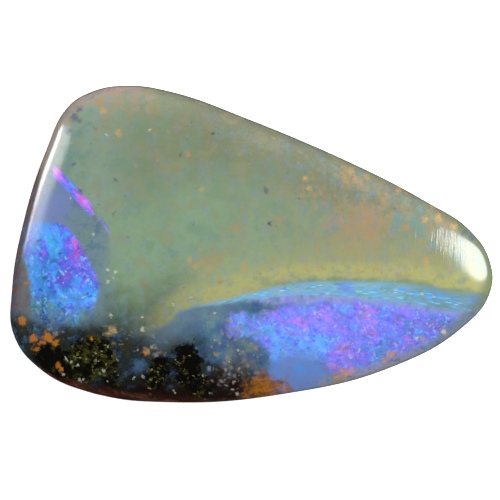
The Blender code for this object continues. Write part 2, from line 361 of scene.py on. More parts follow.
class OpalColours(bpy.types.PropertyGroup):
    fresh_green: colour("Fresh green", "Clear green potch in the middle of the face", 136, 163, 128)
    muted_green: colour("Muted green", "Greyer green potch towards the top", 129, 139, 105)
    beige: colour("Beige", "Potch towards the narrow end", 143, 143, 107)
    sage: colour("Sage", "Cooler clouds in the potch", 112, 144, 120)
    khaki: colour("Khaki", "Warmer clouds in the potch", 148, 144, 106)
    teal_grey: colour("Teal grey", "Cooler patches in the potch", 112, 148, 138)
    tan: colour("Tan", "Sandy mottles in the potch", 168, 146, 104)
    olive: colour("Olive", "Yellow band above the seam", 184, 180, 110)
    # Partly painted reflection: pinkish stone at the upper rim, lightened to stand for the pale room
    # mirrored there
    rim_pink_and_sheen: colour("Rim", "Pale pinkish band along the upper rim", 170, 148, 136)
    # Painted shade: a darker, greyer potch colour that stands for shade along the upper side towards
    # the right
    painted_shade: colour("Dusk", "Greyish potch along the straight upper side", 116, 117, 92)
    ash: colour("Ash", "Grey strip along the lower right rim", 160, 156, 160)
    peach: colour("Peach", "Peach specks along the lower right rim", 206, 154, 116)
    # Painted sheen: a paler potch colour that stands for a lamp's broad glow on the upper left
    painted_sheen: colour("Mist", "Paler potch at the upper left", 146, 172, 154)
    rim_green: colour("Green rim", "Dull green band round the narrow end", 108, 120, 92)
    navy: colour("Navy", "Deep blue shades in the fire", 40, 62, 150)
    # Partly painted shade: brownish ironstone along the left rim, darkened to stand for the dim
    # surroundings mirrored there
    rim_plum_and_shade: colour("Plum rim", "Dark band along the left rim", 90, 74, 82)
    slate: colour("Slate", "Clear slate-blue potch under the seam", 76, 110, 144)
    lake: colour("Lake", "Bluest clouds in the clear potch", 52, 84, 140)
    deep: colour("Deep", "Dark ground where the potch is clear", 34, 44, 46)
    murk: colour("Murk", "Olive-brown clouds in the dark ground", 56, 52, 32)
    night: colour("Night", "Brownish black ground near the lower rim", 28, 13, 8)
    halo: colour("Halo", "Grey potch round the left lobe", 114, 138, 148)
    milk: colour("Milk", "Milky lavender potch", 124, 140, 194)
    thread: colour("Thread", "Bright cyan threads along the seam", 136, 228, 246)
    seam_teal: colour("Seam", "Blue-green band under the seam", 132, 186, 200)
    veil: colour("Veil", "Lavender-grey layer under the band", 150, 162, 214)
    haze: colour("Haze", "Smooth pale blue haze", 110, 142, 206)
    turquoise: colour("Turquoise", "Greenest fire", 52, 186, 190)
    azure: colour("Azure", "Bluest fire", 66, 160, 250)
    periwinkle: colour("Periwinkle", "Fire between blue and violet", 88, 106, 250)
    violet: colour("Violet", "Violet fire", 140, 104, 246)
    orchid: colour("Orchid", "Pinkest fire", 216, 108, 232)
    glint: colour("Glint", "Palest fire", 182, 196, 250)
    blot: colour("Blot", "Black-green blots", 5, 4, 2)
    fleck: colour("Fleck", "Sandy flecks in the dark ground", 152, 134, 112)
    moss: colour("Moss", "Olive flecks in the blots", 96, 94, 28)
    ochre: colour("Ochre", "Golden specks in the potch", 194, 160, 100)
    rust: colour("Rust", "Rosy brown specks in the potch", 176, 140, 100)
    smoke: colour("Smoke", "Smoky blue specks in the potch", 90, 98, 118)
    flame: colour("Flame", "Orange specks in the dark ground", 205, 122, 26)
    cream: colour("Cream", "Pale specks and pits", 204, 206, 178)
    amber: colour("Amber", "Amber ironstone glow", 158, 98, 26)
    ironstone: colour("Ironstone", "Polished ironstone at the rim", 62, 22, 9)
    ironstone_light: colour("Light ironstone", "Ground ironstone's paler bands", 120, 74, 46)
    # Also painted shade: the dark line along the turn of the face's edge
    dark_ironstone_and_edge_shade: colour("Dark ironstone", "Ironstone's darkest bands", 32, 13, 8)
    vein: colour("Vein", "Thin opal veins in the ironstone", 104, 150, 176)


def power(name, description, default):
    return bpy.props.FloatProperty(
        name=name, description=description, default=default, min=0.0, unit="POWER",
    )


class StageSettings(bpy.types.PropertyGroup):
    lens: bpy.props.FloatProperty(
        name="Lens", description="Focal length of the camera above the stone", default=150.0,
        min=20.0, max=400.0, unit="CAMERA",
    )
    view_width: bpy.props.FloatProperty(
        name="View width", description="Width that the picture shows at the girdle, in millimetres",
        default=31.11, min=10.0, max=200.0,
    )
    table: colour("Table", "Pale table under the stone", 245, 245, 245)
    right_power: power("Right lamp", "Power of the large window lamp on the right", 1.82)
    left_power: power("Left lamp", "Power of the narrow window lamp on the left", 0.27)
    glow_power: power("Left glow", "Power of the dim lamp above the left one", 0.21)
    fill_power: power("Overhead", "Power of the soft light from above", 0.95)
    sky: bpy.props.FloatProperty(
        name="Room light", description="Strength of the pale room round the stone", default=0.5,
        min=0.0,
    )


def smooth_line(points, closed, steps=None):
    """A smooth line through a few given points, as an array of evenly spaced ones."""
    curve = bpy.data.curves.new("guide", "CURVE")
    curve.resolution_u = CURVE_STEPS
    spline = curve.splines.new("BEZIER")
    spline.bezier_points.add(len(points) - 1)
    for anchor, (x, y) in zip(spline.bezier_points, points):
        anchor.co = (x, y, 0.0)
        anchor.handle_left_type = anchor.handle_right_type = "AUTO"
    spline.use_cyclic_u = closed
    guide = bpy.data.objects.new("guide", curve)
    bpy.context.scene.collection.objects.link(guide)
    graph = bpy.context.evaluated_depsgraph_get()
    mesh = bpy.data.meshes.new_from_object(guide.evaluated_get(graph))
    line = np.array([vertex.co.xy for vertex in mesh.vertices])
    bpy.data.meshes.remove(mesh)
    bpy.data.objects.remove(guide)
    bpy.data.curves.remove(curve)
    if closed:
        line = np.vstack([line, line[:1]])
    along = np.concatenate([[0.0], np.cumsum(np.linalg.norm(np.diff(line, axis=0), axis=1))])
    steps = steps or round(along[-1] / LINE_SPACING)
    places = np.linspace(0.0, along[-1], steps, endpoint=not closed)
    return np.column_stack([np.interp(places, along, line[:, axis]) for axis in (0, 1)])


def rim_line():
    """The rim, anticlockwise in even steps, scaled to the solid's length and centred on its box."""
    line = smooth_line(RIM[::-1], closed=True, steps=RIM_SEGMENTS)
    low, high = line.min(axis=0), line.max(axis=0)
    return (line - (low + high) / 2) * LENGTH / (high[0] - low[0])


def outward_normals(rim):
    along = np.roll(rim, -1, axis=0) - np.roll(rim, 1, axis=0)
    normals = np.column_stack([along[:, 1], -along[:, 0]])
    return normals / np.linalg.norm(normals, axis=1)[:, None]


def wander(angle, phase):
    """A slow ripple round the hand-ground stone, between about -1 and 1."""
    return sum(share * np.sin(waves * (angle + phase)) for waves, share in RIM_WAVES)


def girdle_height(angle, form):
    return form.girdle + GIRDLE_WANDER * wander(angle, GIRDLE_PHASE)


def section(fullness):
    """The stone's rings from the crown to the back's middle, as a table.

    Its columns are the reach from the crown to the rim, the share of the dome's rise, the share of
    the girdle's height, the height above that, and the shares of the taper and of the back edge's
    width by which the ring is inset.
    """
    rings = []
    for i in range(DOME_RINGS + 1):
        reach = math.sin(math.pi / 2 * i / DOME_RINGS)
        rise = (1.0 - reach**fullness) ** (1.0 / fullness)
        rings.append((reach, rise, 1.0, 0.0, 0.0, 0.0))
    for i in range(1, WALL_RINGS + 1):
        share = i / WALL_RINGS
        rings.append((1.0, 0.0, 1.0 - share, BACK_EDGE * share, share**2, 0.0))
    for i in range(1, EDGE_RINGS + 1):
        turned = math.pi / 2 * i / EDGE_RINGS
        height = BACK_EDGE * (1.0 - math.sin(turned))
        rings.append((1.0, 0.0, 0.0, height, 1.0, 1.0 - math.cos(turned)))
    for i in range(1, BACK_RINGS + 1):
        share = 1.0 - i / BACK_RINGS
        rings.append((share, 0.0, 0.0, 0.0, share, share))
    return np.array(rings)


def unit_sphere(name, rings):
    """A sphere rolled up from a grid, with a pole at its top and at its bottom."""
    bm = bmesh.new()
    bmesh.ops.create_grid(bm, x_segments=RIM_SEGMENTS, y_segments=rings, size=0.5)
    meeting = []
    for vertex in bm.verts:
        across, down = vertex.co.x, math.pi * (vertex.co.y + 0.5)
        if abs(across) > 0.5 - NEAR or math.sin(down) < NEAR:
            meeting.append(vertex)
        turn = 2 * math.pi * across
        vertex.co = (math.sin(down) * math.cos(turn), math.sin(down) * math.sin(turn), math.cos(down))
    bmesh.ops.remove_doubles(bm, verts=meeting, dist=NEAR / 10)
    bmesh.ops.recalc_face_normals(bm, faces=bm.faces)
    mesh = bpy.data.meshes.new(name)
    bm.to_mesh(mesh)
    bm.free()
    return mesh


def read_points(mesh):
    points = np.empty(len(mesh.vertices) * 3)
    mesh.vertices.foreach_get("co", points)
    return points.reshape(-1, 3)


def write_points(mesh, points):
    mesh.vertices.foreach_set("co", points.ravel())
    mesh.update()


def shaped(sphere, form):
    """The unit sphere's points, moved onto the stone's section and outline."""
    rim = rim_line()
    normals = outward_normals(rim)
    rings = section(form.fullness)
    turn = np.arctan2(sphere[:, 1], sphere[:, 0]) / (2 * math.pi)
    down = np.arccos(np.clip(sphere[:, 2], -1.0, 1.0)) / math.pi
    segment = np.round(turn * len(rim)).astype(int) % len(rim)
    reach, rise, foot, lift, taper, edge = rings[np.round(down * (len(rings) - 1)).astype(int)].T
    angle = np.arctan2(rim[segment, 1], rim[segment, 0])
    girdle = girdle_height(angle, form)
    edge_width = BACK_EDGE + EDGE_WANDER * wander(angle, EDGE_PHASE)
    inset = WALL_TAPER * taper + edge_width * edge
    flat = CROWN + (rim[segment] - CROWN) * reach[:, None] - normals[segment] * inset[:, None]
    return np.column_stack([flat, girdle * foot + (THICKNESS - girdle) * rise + lift])


def hollowed(points, form):
    """The points, pushed into the stone where a natural hollow reaches them."""
    for middle, radius, depth in HOLLOWS:
        distance = np.linalg.norm(points - middle, axis=1)
        nearness = np.clip(1.0 - (distance / radius) ** 2, 0.0, 1.0) ** 2
        inward = Vector((-middle[0] * HOLLOW_LEAN, -middle[1] * HOLLOW_LEAN, form.girdle)).normalized()
        points = points + nearness[:, None] * depth * np.array(inward)
    return points


def gritty(points, form):
    """The points, pushed in by the ironstone's rough grain on the wall and the back."""
    out = points.copy()
    top = form.girdle - GRIT_TOP
    for i in np.flatnonzero(points[:, 2] < top):
        place = Vector(points[i])
        share = min(1.0, (top - place.z) / GRIT_FADE)
        coarse = noise.fractal(place * COARSE_GRAINS, 0.8, 2.0, 4)
        fine = abs(noise.noise(place * FINE_GRAINS))
        depth = form.grit * share * max(0.0, 0.5 + 0.6 * coarse + 0.5 * fine)
        sideways = min(1.0, place.z / FOOT)
        inward = Vector((CROWN[0] - place.x, CROWN[1] - place.y, 0.0)).normalized() * sideways
        out[i] += np.array(inward + Vector((0.0, 0.0, 1.0 - sideways))) * depth
    return out


def nearest(line, places):
    """Each place's distance to a dense line, and the number of the line's point nearest to it."""
    tree = kdtree.KDTree(len(line))
    for i, (x, y) in enumerate(line):
        tree.insert((x, y, 0.0), i)
    tree.balance()
    found = [tree.find((x, y, 0.0)) for x, y in places]
    return np.array([f[2] for f in found]), np.array([f[1] for f in found])


def depth_inside(outline, places):
    """How deep each place lies inside a closed outline, negative outside it."""
    distance, _ = nearest(outline, places)
    inside = np.zeros(len(places), dtype=bool)
    corners = outline[::CORNER_EVERY]
    for (x0, y0), (x1, y1) in zip(corners, np.roll(corners, -1, axis=0)):
        if y0 == y1:
            continue
        spans = (places[:, 1] < y0) != (places[:, 1] < y1)
        inside ^= spans & (places[:, 0] < x0 + (places[:, 1] - y0) * (x1 - x0) / (y1 - y0))
    return np.where(inside, distance, -distance)


def side_of(line, places):
    """How far each place lies to the left of an open line's run, negative to its right."""
    distance, index = nearest(line, places)
    along = np.gradient(line, axis=0)[index]
    away = places - line[index]
    return np.where(along[:, 0] * away[:, 1] >= along[:, 1] * away[:, 0], distance, -distance)


def soft_spots(spots, places):
    """The sum of soft round spots at each place."""
    total = np.zeros(len(places))
    for x, y, radius, strength in spots:
        total += strength * np.exp(-((places[:, 0] - x) ** 2 + (places[:, 1] - y) ** 2) / radius**2)
    return total


def trace_features(mesh, form):
    """Keeps on the mesh, as attributes, where the stone's features lie."""
    points = read_points(mesh) / MM
    places = points[:, :2]
    rim_depth = depth_inside(smooth_line(RIM, closed=True), places)
    above_girdle = points[:, 2] - girdle_height(np.arctan2(points[:, 1], points[:, 0]), form)
    past_girdle = np.where(above_girdle > 0.0, rim_depth, above_girdle)
    features = {
        "rim_depth": rim_depth,
        "past_contact": past_girdle + CONTACT_DEPTH
        - soft_spots(IRONSTONE_SPOTS, places) * (1.0 + CONTACT_DEPTH),
        "bar": side_of(smooth_line(BAR, closed=False), places),
        "seam": side_of(smooth_line(SEAM, closed=False), places),
    }
    for name, outline in (("fire", FIRE), ("lobe", LOBE), ("halo", HALO)):
        features[name] = depth_inside(smooth_line(outline, closed=True), places)
    for name, spots in SPOTS.items():
        features[name] = soft_spots(spots, places)
    for name, values in features.items():
        layer = mesh.attributes.new(name, "FLOAT", "POINT")
        layer.data.foreach_set("value", values.astype(np.float32))


NODES_PER_COLUMN = 12
MIX_COLOURS = (6, 7)  # the Mix node's two colour inputs
MIX_RESULT = 2


class Wiring:
    """Lays shader nodes in one tree. Each call gives the socket that the new node puts out."""

    def __init__(self, tree):
        self.tree = tree
        self.laid = 0

    def node(self, kind, **settings):
        made = self.tree.nodes.new(kind)
        column, row = divmod(self.laid, NODES_PER_COLUMN)
        made.location = (180.0 * column, -220.0 * row)
        self.laid += 1
        for name, value in settings.items():
            setattr(made, name, value)
        return made

    def feed(self, socket, value):
        """Links a socket to one that feeds it, or sets it to a number, colour or vector."""
        if isinstance(value, bpy.types.NodeSocket):
            self.tree.links.new(value, socket)
        elif socket.type == "RGBA":
            socket.default_value = (*value, 1.0)
        else:
            socket.default_value = value

    def maths(self, operation, a, b=0.0):
        made = self.node("ShaderNodeMath", operation=operation)
        self.feed(made.inputs[0], a)
        self.feed(made.inputs[1], b)
        return made.outputs[0]

    def swing(self, value, amount):
        """A value about one half, as a value about nothing that is so many times as wide."""
        return self.maths("MULTIPLY", self.maths("SUBTRACT", value, 0.5), amount)

    def total(self, first, *rest):
        for value in rest:
            first = self.maths("ADD", first, value)
        return first

    def product(self, first, *rest):
        for value in rest:
            first = self.maths("MULTIPLY", first, value)
        return first

    def held(self, value, low, high):
        """The value, kept between two numbers."""
        return self.maths("MINIMUM", self.maths("MAXIMUM", value, low), high)

    def vector(self, operation, a, b):
        made = self.node("ShaderNodeVectorMath", operation=operation)
        self.feed(made.inputs[0], a)
        self.feed(made.inputs["Scale"] if operation == "SCALE" else made.inputs[1], b)
        return made.outputs[0]

    def mix(self, share, a, b, blend="MIX"):
        made = self.node("ShaderNodeMix", data_type="RGBA", blend_type=blend, clamp_factor=True)
        self.feed(made.inputs["Factor"], share)
        for socket, value in zip(MIX_COLOURS, (a, b)):
            self.feed(made.inputs[socket], value)
        return made.outputs[MIX_RESULT]

    def lit(self, shade, level):
        """A colour, lighter or darker so many times."""
        grey = self.node("ShaderNodeCombineColor")
        for socket in grey.inputs:
            self.feed(socket, level)
        return self.mix(1.0, shade, grey.outputs[0], blend="MULTIPLY")

    def step(self, value, low, high):
        """0 below low and 1 above high, smoothly; low may be the higher of the two."""
        made = self.node("ShaderNodeMapRange", interpolation_type="SMOOTHSTEP", clamp=False)
        if low > high:
            low, high, made.inputs["To Min"].default_value = high, low, 1.0
            made.inputs["To Max"].default_value = 0.0
        self.feed(made.inputs["Value"], value)
        made.inputs["From Min"].default_value = low
        made.inputs["From Max"].default_value = high
        return made.outputs[0]

    def attribute(self, name):
        return self.node("ShaderNodeAttribute", attribute_name=name).outputs["Fac"]

    def place(self):
        """The place on the stone, in millimetres."""
        return self.vector("SCALE", self.node("ShaderNodeTexCoord").outputs["Object"], 1.0 / MM)

    def noise(self, place, scale, detail=3.0, roughness=0.55, output="Fac"):
        made = self.node("ShaderNodeTexNoise")
        self.feed(made.inputs["Vector"], place)
        self.feed(made.inputs["Scale"], scale)
        made.inputs["Detail"].default_value = detail
        made.inputs["Roughness"].default_value = roughness
        return made.outputs[output]

    def cells(self, place, scale, output="Color"):
        made = self.node("ShaderNodeTexVoronoi")
        self.feed(made.inputs["Vector"], place)
        self.feed(made.inputs["Scale"], scale)
        return made.outputs[output]

    def joined(self, x, y, z):
        made = self.node("ShaderNodeCombineXYZ")
        for socket, value in zip(made.inputs, (x, y, z)):
            self.feed(socket, value)
        return made.outputs[0]

    def turned(self, place, angle):
        """The place, turned about the upright axis."""
        made = self.node("ShaderNodeVectorRotate", rotation_type="Z_AXIS")
        self.feed(made.inputs["Vector"], place)
        self.feed(made.inputs["Angle"], angle)
        return made.outputs[0]

    def warped(self, place, scale, amount):
        """The place, moved about by a cloud of noise."""
        cloud = self.joined(*self.parts(self.noise(place, scale, 3.0, 0.6, "Color")))
        cloud = self.vector("SUBTRACT", cloud, (0.5, 0.5, 0.5))
        return self.vector("ADD", place, self.vector("SCALE", cloud, amount))

    def parts(self, value):
        """The three parts of a vector or a colour."""
        made = self.node("ShaderNodeSeparateColor" if value.type == "RGBA" else "ShaderNodeSeparateXYZ")
        self.feed(made.inputs[0], value)
        return made.outputs

    def ramp(self, value, colours, stops):
        """The colour that a value has come to, from stops that each have a place and a name."""
        made = self.node("ShaderNodeValToRGB")
        self.feed(made.inputs[0], value)
        elements = made.color_ramp.elements
        while len(elements) < len(stops):
            elements.new(0.5)
        for element, (position, name) in zip(elements, stops):
            element.position = position
            element.color = (*getattr(colours, name), 1.0)
        return made.outputs[0]

    def group(self, tree, **values):
        """A node of the group, with values for its inputs, by their names in lower case."""
        made = self.node("ShaderNodeGroup", node_tree=tree)
        for name, value in values.items():
            self.feed(made.inputs[name.capitalize()], value)
        return made.outputs[0] if len(made.outputs) == 1 else made.outputs


def new_group(name, inputs, outputs):
    """An empty node group with named sockets, and the wiring, inputs and outputs inside it."""
    tree = bpy.data.node_groups.new(name, "ShaderNodeTree")
    for label, kind, default in inputs:
        socket = tree.interface.new_socket(label, in_out="INPUT", socket_type=kind)
        socket.default_value = default
    for label, kind in outputs:
        tree.interface.new_socket(label, in_out="OUTPUT", socket_type=kind)
    wires = Wiring(tree)
    return tree, wires, wires.node("NodeGroupInput").outputs, wires.node("NodeGroupOutput").inputs


NUMBER, COLOUR, PLACE = "NodeSocketFloat", "NodeSocketColor", "NodeSocketVector"
WHITE = (1.0, 1.0, 1.0, 1.0)
ORIGIN = (0.0, 0.0, 0.0)


def ragged_edge_group():
    """A mask that is 1 inside an outline whose edge wanders raggedly."""
    tree, w, given, out = new_group(
        "Ragged edge",
        [("Place", PLACE, ORIGIN), ("Distance", NUMBER, 0.0), ("Softness", NUMBER, 0.1),
         ("Wander", NUMBER, 0.2), ("Grain", NUMBER, 2.0)],
        [("Mask", NUMBER)],
    )
    cloud = w.noise(given["Place"], given["Grain"], 4.0, 0.65)
    swing = w.swing(cloud, w.product(given["Wander"], 3.0))
    share = w.maths("DIVIDE", w.total(given["Distance"], swing), w.product(given["Softness"], 2.0))
    w.feed(out["Mask"], w.step(w.total(share, 0.5), 0.0, 1.0))
    return tree


def mottle_group():
    """Ragged blotches that come closer together as their density rises."""
    tree, w, given, out = new_group(
        "Mottle",
        [("Place", PLACE, ORIGIN), ("Density", NUMBER, 0.5), ("Grain", NUMBER, 1.5),
         ("Softness", NUMBER, 0.05), ("Seed", NUMBER, 0.0)],
        [("Mask", NUMBER)],
    )
    place = w.vector("ADD", given["Place"], w.joined(0.0, 0.0, given["Seed"]))
    cloud = w.noise(place, given["Grain"], 5.0, 0.65)
    level = w.maths("SUBTRACT", 0.72, w.maths("MULTIPLY", given["Density"], 0.34))
    over = w.maths("DIVIDE", w.maths("SUBTRACT", cloud, level), given["Softness"])
    present = w.step(given["Density"], 0.0, 0.15)
    w.feed(out["Mask"], w.product(w.step(w.total(over, 0.5), 0.0, 1.0), present))
    return tree


def clouding_group():
    """Soft clouds in a colour: warmer here, cooler there, and lighter and darker by turns."""
    tree, w, given, out = new_group(
        "Clouding",
        [("Place", PLACE, ORIGIN), ("Base", COLOUR, WHITE), ("Warm", COLOUR, WHITE),
         ("Cool", COLOUR, WHITE), ("Grain", NUMBER, 1.0), ("Amount", NUMBER, 0.5),
         ("Depth", NUMBER, 0.4)],
        [("Color", COLOUR)],
    )
    cloud = w.noise(given["Place"], given["Grain"], 5.0, 0.65)
    warm = w.product(w.step(cloud, 0.49, 0.66), given["Amount"])
    cool = w.product(w.step(cloud, 0.51, 0.34), given["Amount"])
    shade = w.mix(cool, w.mix(warm, given["Base"], given["Warm"]), given["Cool"])
    elsewhere = w.vector("ADD", given["Place"], (31.0, 17.0, 5.0))
    light = w.noise(elsewhere, w.product(given["Grain"], 2.2), 4.0, 0.7)
    w.feed(out["Color"], w.lit(shade, w.total(1.0, w.swing(light, given["Depth"]))))
    return tree


def grains_group():
    """Scattered grains or strokes: where they lie, and a number from 0 to 1 for each."""
    tree, w, given, out = new_group(
        "Grains",
        [("Place", PLACE, ORIGIN), ("Density", NUMBER, 0.3), ("Grain", NUMBER, 3.0),
         ("Size", NUMBER, 0.35), ("Stretch", NUMBER, 1.0), ("Turn", NUMBER, 0.0),
         ("Seed", NUMBER, 0.0)],
        [("Mask", NUMBER), ("Tint", NUMBER)],
    )
    x, y, z = w.parts(w.turned(given["Place"], given["Turn"]))
    stretched = w.joined(w.maths("DIVIDE", x, given["Stretch"]), y, w.total(z, given["Seed"]))
    cells = w.node("ShaderNodeTexVoronoi")
    w.feed(cells.inputs["Vector"], stretched)
    w.feed(cells.inputs["Scale"], given["Grain"])
    chance, tint, size = w.parts(cells.outputs["Color"])
    reach = w.product(given["Size"], w.total(0.5, size))
    over = w.maths("SUBTRACT", 1.0, w.maths("DIVIDE", cells.outputs["Distance"], reach))
    present = w.maths("LESS_THAN", chance, given["Density"])
    w.feed(out["Mask"], w.product(w.step(over, 0.0, 0.7), present))
    w.feed(out["Tint"], tint)
    return tree


def fire_group(colours):
    """Play of colour: clouds and slanting panes, from turquoise through azure and violet to pink."""
    tree, w, given, out = new_group(
        "Opal fire",
        [("Place", PLACE, ORIGIN), ("Hue", NUMBER, 0.5), ("Light", NUMBER, 0.0), ("Grain", NUMBER, 3.0),
         ("Turn", NUMBER, 0.7), ("Pale", NUMBER, 0.12)],
        [("Color", COLOUR)],
    )
    place = given["Place"]
    x, y, z = w.parts(w.turned(place, given["Turn"]))
    panes = w.parts(w.cells(w.joined(w.product(x, 0.5), y, z), w.product(given["Grain"], 1.4)))
    drift = w.swing(w.noise(place, 0.8, 4.0, 0.65), 1.2)
    fine = w.swing(w.noise(place, given["Grain"], 3.0, 0.7), 0.8)
    hue = w.total(given["Hue"], drift, fine, w.swing(panes[0], 0.2))
    shade = w.ramp(hue, colours, FIRE_TINTS)
    elsewhere = w.vector("ADD", place, (9.0, 3.0, 1.0))
    clouds = w.swing(w.noise(elsewhere, 1.3, 5.0, 0.72), 1.8)
    level = w.total(1.0, clouds, w.swing(panes[1], 0.3), given["Light"])
    lit = w.lit(shade, w.maths("MAXIMUM", level, 0.15))
    pale = w.step(w.noise(elsewhere, given["Grain"], 4.0, 0.7), 0.53, 0.72)
    lit = w.mix(w.total(given["Pale"], w.product(pale, 0.45)), lit, tuple(colours.glint))
    w.feed(out["Color"], lit)
    return tree


class Face:
    """What the layers of the polished face share: the wiring, the colours, the groups, the place."""

    def __init__(self, wires, colours):
        self.w = wires
        self.colours = colours
        self.edge_tree = ragged_edge_group()
        self.mottle_tree = mottle_group()
        self.clouding_tree = clouding_group()
        self.grains_tree = grains_group()
        self.fire_tree = fire_group(colours)
        straight = wires.place()
        self.x, self.y, self.z = wires.parts(straight)
        self.place = wires.warped(straight, 2.4, 0.45)
        self.seam = wires.attribute("seam")
        self.rim_depth = wires.attribute("rim_depth")
        self.patchy = wires.step(wires.noise(self.place, 0.9, 4.0, 0.65), 0.42, 0.62)

    def shade(self, name):
        return tuple(getattr(self.colours, name))

    def across(self, start, end):
        """0 at the first place along the stone and 1 at the second, smoothly."""
        return self.w.step(self.x, start, end)

    def up(self, start, end):
        """0 at the first place across the stone and 1 at the second, smoothly."""
        return self.w.step(self.y, start, end)

    def drift(self, grain, amount, detail=3.0, roughness=0.55):
        """A cloud of noise about nothing."""
        return self.w.swing(self.w.noise(self.place, grain, detail, roughness), amount)

    def cover(self, below, shade, *masks):
        """A colour, by its name or its socket, over what lies below where all the masks are 1."""
        shade = self.shade(shade) if isinstance(shade, str) else shade
        return self.w.mix(self.w.product(*masks), below, shade)

    def edge(self, distance, softness, wander, grain):
        return self.w.group(
            self.edge_tree, place=self.place, distance=distance, softness=softness, wander=wander,
            grain=grain,
        )

    def mottle(self, density, grain, softness, seed):
        return self.w.group(
            self.mottle_tree, place=self.place, density=density, grain=grain, softness=softness,
            seed=seed,
        )

    def clouded(self, base, warm, cool, grain, amount, depth, place=None):
        """The base colour with warmer and cooler clouds in it, whose colours go by their names."""
        return self.w.group(
            self.clouding_tree, place=place or self.place,
            base=self.shade(base) if isinstance(base, str) else base,
            warm=self.shade(warm), cool=self.shade(cool), grain=grain, amount=amount, depth=depth,
        )

    def grains(self, density, grain, size, stretch, turn, seed, place=None):
        return self.w.group(
            self.grains_tree, place=place or self.place, density=density, grain=grain, size=size,
            stretch=stretch, turn=turn, seed=seed,
        )

    def strewn(self, below, first, second, strength, density, *look, place=None):
        """Grains or strokes over what lies below, each of a tint between the two colours."""
        mask, tint = self.grains(density, *look, place=place)
        shade = self.w.mix(tint, self.shade(first), self.shade(second))
        return self.cover(below, shade, mask, strength)

    def fire(self, hue, light, grain, turn, pale):
        return self.w.group(
            self.fire_tree, place=self.place, hue=hue, light=light, grain=grain, turn=turn, pale=pale
        )


def potch(face):
    """The green body of the face: its sandy and cooler mottles, the olive band, painted shade
    along the upper side towards the right and a painted sheen at the upper left.
    """
    w = face.w
    broad = w.noise(face.place, 0.22)
    topward = w.step(w.total(face.y, w.product(broad, 6.0)), 3.0, 9.0)
    rightward = w.step(w.total(face.x, w.product(broad, 8.0)), 1.0, 12.0)
    outward = w.step(w.total(face.rim_depth, w.product(broad, 3.0)), 6.0, 2.0)
    base = face.cover(face.shade("fresh_green"), "muted_green", topward)
    base = face.cover(base, "beige", rightward, 0.8)
    # Painted shade along the upper side towards the right, near the rim
    base = face.cover(base, "painted_shade", outward, face.across(-6.5, -2.0), face.up(0.0, 2.5), 0.9)
    # Painted sheen at the upper left
    base = face.cover(base, "painted_sheen", face.across(-6.0, -10.0), face.up(0.5, 3.0), 0.6)
    base = face.clouded(base, "khaki", "sage", grain=0.7, amount=0.45, depth=0.25)
    upright = w.vector("MULTIPLY", face.place, UPRIGHT)
    streaked = face.clouded(base, "tan", "teal_grey", grain=1.5, amount=0.5, depth=0.4, place=upright)
    base = face.cover(base, streaked, face.across(1.5, 7.0))
    tan = w.attribute("tan")
    for shade, strength, density, grain, softness, seed in (
        ("teal_grey", 0.8, w.attribute("teal"), 1.3, 0.16, 3.0),
        ("tan", 0.6, w.total(tan, 0.12), 1.5, 0.2, 11.0),
        ("rust", 0.4, w.total(tan, 0.1), 2.8, 0.2, 31.0),
        ("teal_grey", 0.55, w.product(face.across(-5.0, 1.0), 0.3), 1.7, 0.2, 37.0),
    ):
        base = face.cover(base, shade, face.mottle(density, grain, softness, seed), strength)
    base = face.strewn(base, "rust", "ochre", 0.3, w.total(w.product(tan, 0.4), 0.03), *POTCH_FLECKS)

    ripple = face.drift(0.8, 0.9, roughness=0.6)
    height = w.total(face.seam, ripple)
    base = face.cover(base, "olive", w.step(height, 3.4, 0.9), face.across(-7.5, -2.0), 0.4)
    dim = face.clouded("deep", "murk", "slate", grain=1.2, amount=0.6, depth=0.4)
    near_dark = w.step(w.total(face.seam, w.product(ripple, 2.0)), 3.6, 0.0)
    base = face.cover(base, dim, near_dark, face.across(-2.0, -6.5), 0.75)
    olive = face.clouded("olive", "tan", "sage", grain=1.1, amount=0.5, depth=0.2)
    strength = w.total(0.48, w.product(face.across(-6.0, 2.0), 0.44))
    base = face.cover(base, olive, w.step(height, 1.6, 0.75), face.across(-7.8, -4.5), strength)
    return face.cover(base, "sage", w.step(height, 0.4, 0.05), face.across(-1.0, 3.0), 0.7)


